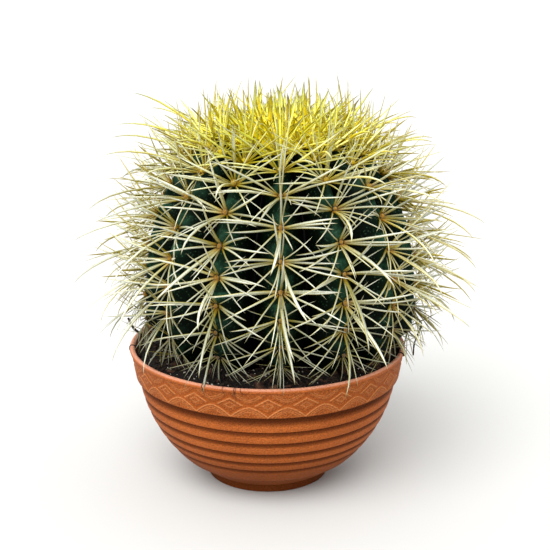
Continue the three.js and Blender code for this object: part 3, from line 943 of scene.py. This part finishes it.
def spineFinish():
    # Cactus spine: dry plant fibre like thin horn, which passes a little light, with lines 0.9 mm apart.
    # Amber at its root, straw to ivory along its length, brownish at the tip, saturated yellow where young.
    # Its outward face stays pale, and painted shade turns the other faces yellower. Near the soil it is
    # darker, partly old and partly painted shade.
    material, add = newFinish(
        "driedSpineHorn", Roughness=0.34, IOR=1.5, Specular_IOR_Level=0.8,
        Subsurface_Weight=0.1, Subsurface_Scale=0.001, Subsurface_Radius=(1.0, 0.9, 0.45))
    reach, youth, shade, span, shaded = (
        add("Attribute", out="Fac", attribute_name=name)
        for name in ("reach", "youth", "shade", "span", "shaded"))
    old = add("ValToRGB", {"Fac": reach}, [
        (0.0, "#7A4C18"), (0.05, "#A08038"), (0.12, "#AAA262"),
        (0.3, "#B5B89A"), (0.8, "#CBCFC2"), (1.0, "#A09A76")])
    young = add("ValToRGB", {"Fac": reach}, [
        (0.0, "#BA9C18"), (0.12, "#DACC1C"), (0.35, "#EEEA28"),
        (0.6, "#E6E644"), (0.8, "#BABC56"), (1.0, "#3E3C2A")])
    aged = add("Mix", {0: youth, 6: old, 7: young}, data_type="RGBA")
    rings = add("TexNoise", {"W": span, "Scale": 1.1, "Detail": 1.0}, noise_dimensions="1D")
    lines = add("ValToRGB", {"Fac": rings}, [(0.3, 0.82), (0.6, 1.0)])
    # the lines, then painted shade in yellow on the faces turned away from outside
    for amount, tint in ((1.0, lines), (shaded, linearColour("#FFE678"))):
        aged = add("Mix", {0: amount, 6: aged, 7: tint}, data_type="RGBA", blend_type="MULTIPLY")
    tone = add("MapRange", {
        "Value": shade, "From Min": -1.5, "From Max": 0.5, "To Min": 0.28, "To Max": 1.08})
    depth = add("MapRange", {
        "Value": shade, "From Min": -1.2, "From Max": 0, "To Min": 1.5, "To Max": 1.0})
    toned = add("HueSaturation", {"Color": aged, "Saturation": depth, "Value": tone})
    bump = add("Bump", {"Height": rings, "Strength": 0.3, "Distance": 0.0002})
    return linkFinish(material, Base_Color=toned, Normal=bump)


horn = spineFinish()


def addSpines(name, groups):
    # An oval section carried along a line with an even bow. Its size falls by t to the 4 to a point at the
    # tip, and swells at the root.
    s = {key: np.concatenate([group[key] for group in groups]) for key in groups[0]}
    steps = np.array(spine["steps"])
    t = steps[:, None]
    line, bow = (s["tip"] - s["root"])[:, None], s["bow"][:, None]
    path = s["root"][:, None] + line * t + bow * 4 * t * (1 - t)
    tangent = unit(line + bow * 4 * (1 - 2 * t))
    side = s["side"][:, None]
    side = unit(side - (side * tangent).sum(axis=-1, keepdims=True) * tangent)
    swell, fading = spine["rootSwell"]
    size = (1 - steps ** 4) * (1 + swell * np.exp(-steps * fading)) / 2
    wide, thick = (s[key][:, None] * size for key in ("width", "thick"))
    rings = sweepOval(path, side, np.cross(tangent, side), wide, thick, spine["corners"])
    marks = {
        "reach": t,
        "youth": s["youth"][:, None, None],
        "shade": s["shade"][:, None, None],
        "span": t * s["length"][:, None, None],
        # painted shade on the faces turned away from outside
        "shaded": smoothStep(*spine["litToShaded"], np.sin(evenTurns(spine["corners"]))),
    }
    addShells(name, rings, s["root"], s["tip"], horn, "cactus", marks)


grown = np.flatnonzero(padAlong >= cushions["crownReach"])
crown = np.flatnonzero(padAlong < cushions["crownReach"])
young = grown[padAlong[grown] < spine["risingReach"]]
addSpines("centre_spines", [placeSpines(grown, centreSpines, 0)])
addSpines("ray_spines", [placeSpines(grown, raySpines, 4)])
addSpines("crown_spines", [
    placeSpines(crown, crownSpines, 0, spine["crownScatter"]), placeSpines(young, youngSpines, 90)])


# Wool of the crown

wool = {
    "reach": (40, 0.8),  # of its edge and its top ring, down the ribs from the crown
    "rise": 11,
    "fade": (0.55, 1.0),
    "sunk": 1.6,  # how far its edge lies in the skin
    "bottom": 215,
    "lumps": ((0.5, 5, 21), (0.35, 2.2, 22)),  # share of the rise, cell, seed
    "rings": 36,
    "corners": 96,
}


def addWool():
    # A low dome over the crown: the crest line raised by a height that fades out, made lumpy by noise
    turn = evenTurns(wool["corners"])
    along = np.linspace(*wool["reach"], wool["rings"])[:, None]
    radius, height, outward, upward = crestAt(along)
    fade = 1 - smoothStep(*wool["fade"], along / wool["reach"][0])
    base = aboutPlant(turn, radius, height)
    lump = sum((share * latticeNoise(base, cell, seed) for share, cell, seed in wool["lumps"]), 1)
    out = wool["rise"] * lump * fade - wool["sunk"] * (1 - fade)
    points = aboutPlant(turn, radius + out * outward, height + out * upward)
    low = (plant["offset"], 0, wool["bottom"])
    high = (plant["offset"], 0, points[-1, :, 2].mean())
    addShells("crown_wool", points, low, high, felt, "cactus", {"youth": 1.0})


addWool()


# Soil


def wallReach(turn, radius):
    # How far from the plant's axis a circle round the bowl's axis is, in the direction of that turn
    across = plant["offset"] * np.sin(turn)
    return -across + np.sqrt(across ** 2 - plant["offset"] ** 2 + radius ** 2)


def contactAlong(turn):
    # The distance down the body, in each direction, at which its skin comes down to the soil
    along = np.linspace(*soil["contactSearch"])
    heights = bodyPoints(along[:, None], turn, soil["fit"])[0][..., 2]
    i = (heights < soil["contact"]).argmax(axis=0)
    before, after = heights[i - 1, np.arange(len(turn))], heights[i, np.arange(len(turn))]
    return along[i - 1] + (along[1] - along[0]) * (before - soil["contact"]) / (before - after)


def soilPlace(turn, share, contact):
    # A point of the soil's top: share 0 is at the wall and 1 at the plant's skin. The mound's height has
    # lumps of three sizes, which fade out at both edges.
    wall = wallReach(turn, soil["edgeRadius"])
    skin = bodyPoints(contact, turn, soil["fit"])[0]
    inner = np.hypot(skin[..., 0] - plant["offset"], skin[..., 1])
    points = aboutPlant(turn, wall + (inner - wall) * share, 0)
    height = soilTop(np.hypot(points[..., 0], points[..., 1]))
    points[..., 2] = height + (skin[..., 2] - height) * smoothStep(*soil["skinRise"], share)
    start, end = soil["lumpFade"]
    fade = smoothStep(0, start, share) * smoothStep(1.0, end, share)
    for cell, rise, seed in soil["lumps"]:
        points[..., 2] += rise * fade * latticeNoise(points * np.array([1, 1, 0]), cell, seed)
    return points


# Peat potting mix: crumbly, damp and matt, almost black with brown fibres, paler grit and 2 mm crumbs
peat = roughFinish(
    "peatPottingMix", {"Scale": 260.0, "Detail": 4.0, "Roughness": 0.7},
    [(0.3, "#040302"), (0.55, "#0E0A07"), (0.75, "#261C15")], ("TexVoronoi", {"Scale": 480.0}, 0.9, 0.0015),
    Roughness=0.92, Specular_IOR_Level=0.25)


def addSoil():
    # From under its middle out along the bowl's wall, over the mound, and down round the plant's root
    turn = evenTurns(soil["columns"])
    contact = contactAlong(turn)
    sides = insideBowl(np.array(bowl["wallHeights"][::-1]), bowl["wall"] + soil["fit"])
    floor = bowl["footRecess"] + bowl["wall"] + soil["fit"]
    ledge = bowl["bandBottomRadius"] - bowl["wall"] - soil["fit"]
    upper = [[ledge, soil["ledgeHeight"]], soil["upperWall"]]
    wall = np.concatenate([[[soil["floorRadius"], floor]], sides, upper])
    below = aboutPlant(turn, wallReach(turn, wall[:, :1]), wall[:, 1:])
    top = soilPlace(turn, np.linspace(0, 1, soil["topRows"])[:, None], contact)
    down = np.linspace(soil["pocketStart"], 1, soil["pocketRows"])[:, None]
    pocket = bodyPoints(contact + (rootAlong - contact) * down, turn, soil["fit"])[0]
    holeRadius, holeEnd = plant["rootTip"][0] + soil["fit"] + 0.4, plant["rootTip"][1] - 0.5
    shaft = aboutPlant(turn[None], holeRadius, holeEnd)
    rings = np.concatenate([below, top, pocket, shaft])
    start, end = ((plant["offset"], 0, height) for height in (floor, holeEnd))
    addShells("soil_bed", rings, start, end, peat, "soil", replaced=["soil"])


addSoil()

crumbs = {
    # name: how many, smallest, largest, longest against width, sunk share, colours, roughness
    "peat_crumbs": (2600, 0.9, 3.2, 1.5, 0.25, ("#0D0906", "#2A1E15"), 0.95),
    "perlite_grains": (330, 0.7, 2.1, 1.3, 0.15, ("#7C766A", "#AAA498"), 0.85),
    "bark_chips": (90, 2.4, 6.0, 2.6, 0.2, ("#241711", "#4A3324"), 0.9),
}
crumbRise = (-0.8, 0.0, 0.8)  # angles of a crumb's rings from its equator, in radians
crumbCorners = 5


def addCrumbs(name, count, small, large, stretch, sunk, colours, roughness, seed):
    # Each bit is a small ball with every corner's distance drawn at random, turned and laid on the soil
    draw = np.random.default_rng(seed)
    turn = draw.uniform(0, turnFull, count)
    share = draw.uniform(0.03, 0.97, count)
    ground = soilPlace(turn, share, contactAlong(turn))
    size = (small + (large - small) * draw.uniform(0, 1, count) ** 2.2)[:, None] / 2
    ball = ballRings(crumbRise, crumbCorners)
    lumps = ball * size[..., None, None] * draw.uniform(0.7, 1.25, (count, len(crumbRise), crumbCorners, 1))
    lumps[..., 0] *= draw.uniform(1, stretch, count)[:, None, None]
    axes = unit(draw.normal(size=(count, 3)) + np.array([0, 0, 0.3]))
    first = unit(np.cross(axes, draw.normal(size=(count, 3))))
    frames = np.stack([first, np.cross(axes, first), axes], axis=1)
    middle = ground + np.array([0, 0, 1]) * size * (1 - 2 * sunk)
    rings = np.einsum("nrca,nab->nrcb", lumps, frames) + middle[:, None, None]
    # Loose bits of the potting mix, dusty and matt: peat lumps, puffed volcanic glass and conifer bark
    material = roughFinish(
        name.title().replace("_", ""), {"Scale": 420.0, "Detail": 3.0}, list(zip((0.35, 0.65), colours)),
        Roughness=roughness, Specular_IOR_Level=0.2)
    poles = middle - size * axes, middle + size * axes
    addShells(name, rings, *poles, material, "soil", smooth=False)


for seed, (name, values) in enumerate(crumbs.items()):
    addCrumbs(name, *values, seed=101 + seed)


# Dried twigs

stalks = {
    "steps": 64,
    "corners": 10,
    "base": 1.1,  # the radius at the foot, as a share of the twig's
    "knot": (0.22, 47, 19),  # height, and the waves that place them
}


# Dried stalk: dark brown and dull, and wrinkled
wrinkles = {"Scale": 700.0, "Detail": 3.0}
stalk = roughFinish(
    "driedStalk", wrinkles, [(0.3, "#0A0706"), (0.7, "#241A14")], ("TexNoise", wrinkles, 0.7, 0.0004),
    Roughness=0.8, Specular_IOR_Level=0.25)


def tubeRings(path, radii, corners):
    # A round section carried along each path, set by the path's direction and the Y axis
    tangent = unit(np.gradient(path, axis=-2))
    side = unit(np.cross(tangent, np.array([0.05, 1, 0.1])))
    return sweepOval(path, side, np.cross(tangent, side), radii, radii, corners)


def addTwig(name, radius, taper, route):
    # A tapered stalk along its route, with knots where it has dried in
    path = smoothRoute(route, stalks["steps"])
    t = np.linspace(0, 1, stalks["steps"])
    knot, fast, slow = stalks["knot"]
    knots = 1 + knot * np.sin(t * fast) * np.sin(t * slow + 1)
    rings = tubeRings(path, radius * (stalks["base"] - taper * t ** 2) * knots, stalks["corners"])
    addShells(name + "_stalk", rings, path[0], path[-1], stalk, "dry_twig", replaced=[name])


for name, twig in twigs.items():
    addTwig(name, **twig)


# Fine dark rootlets that hang over the lip, and two short bits of root that lie on it

rootlets = {
    # turn round the bowl, drop, sideways drift, radius
    "strands": (
        (-25.5, 5.0, 2.0, 0.22), (-24.2, 3.0, -2.6, 0.2), (-17.0, 2.6, 1.6, 0.18), (-12.5, 6.5, 1.4, 0.26),
        (-11.8, 4.0, -2.2, 0.2), (-10.0, 2.2, 3.0, 0.18), (-84.0, 1.2, 1.0, 0.4), (74.0, 0.8, 3.0, 0.6),
    ),
    "steps": 22,
    "corners": 5,
    "taper": (1.1, 0.7),
    "onLip": 0.62,  # the share of a strand that lies over the lip
    "overLip": (200, -10),  # over the lip's round, from its inside to its outside
    "gap": 0.35,  # between the lip and a strand's middle
    "inSoil": (0.06, 3.4),  # the share that starts in the soil, and how deep
    "waver": (0.25, 9),
}


def addRootlets():
    # Each strand comes out of the soil, lies over the round lip and hangs down outside it
    r = rootlets
    t = np.linspace(0, 1, r["steps"])
    turn, drop, drift, radius = np.array(r["strands"], float).T[..., None]
    over = np.clip(t / r["onLip"], 0, 1)
    inside, outside = (math.radians(angle) for angle in r["overLip"])
    lipTurn = inside * (1 - over) + outside * over
    reach = bowl["lipRound"] + r["gap"]
    radial = bowl["rimRadius"] - bowl["lipRound"] + reach * np.cos(lipTurn)
    hang = drop * np.maximum(t - r["onLip"], 0) / (1 - r["onLip"])
    height = bowl["height"] - bowl["lipRound"] + reach * np.sin(lipTurn) - hang
    start, deep = r["inSoil"]
    height = height - deep * np.maximum(start - t, 0) / start
    waver, waves = r["waver"]
    angle = np.radians(turn) + drift * (t ** 2 + waver * np.sin(t * waves)) / 100
    path = aboutAxis(angle, radial, height)
    thick, taper = r["taper"]
    rings = tubeRings(path, radius * (thick - taper * t), r["corners"])
    addShells("rootlets", rings, path[:, 0], path[:, -1], stalk, "dry_twig")


addRootlets()
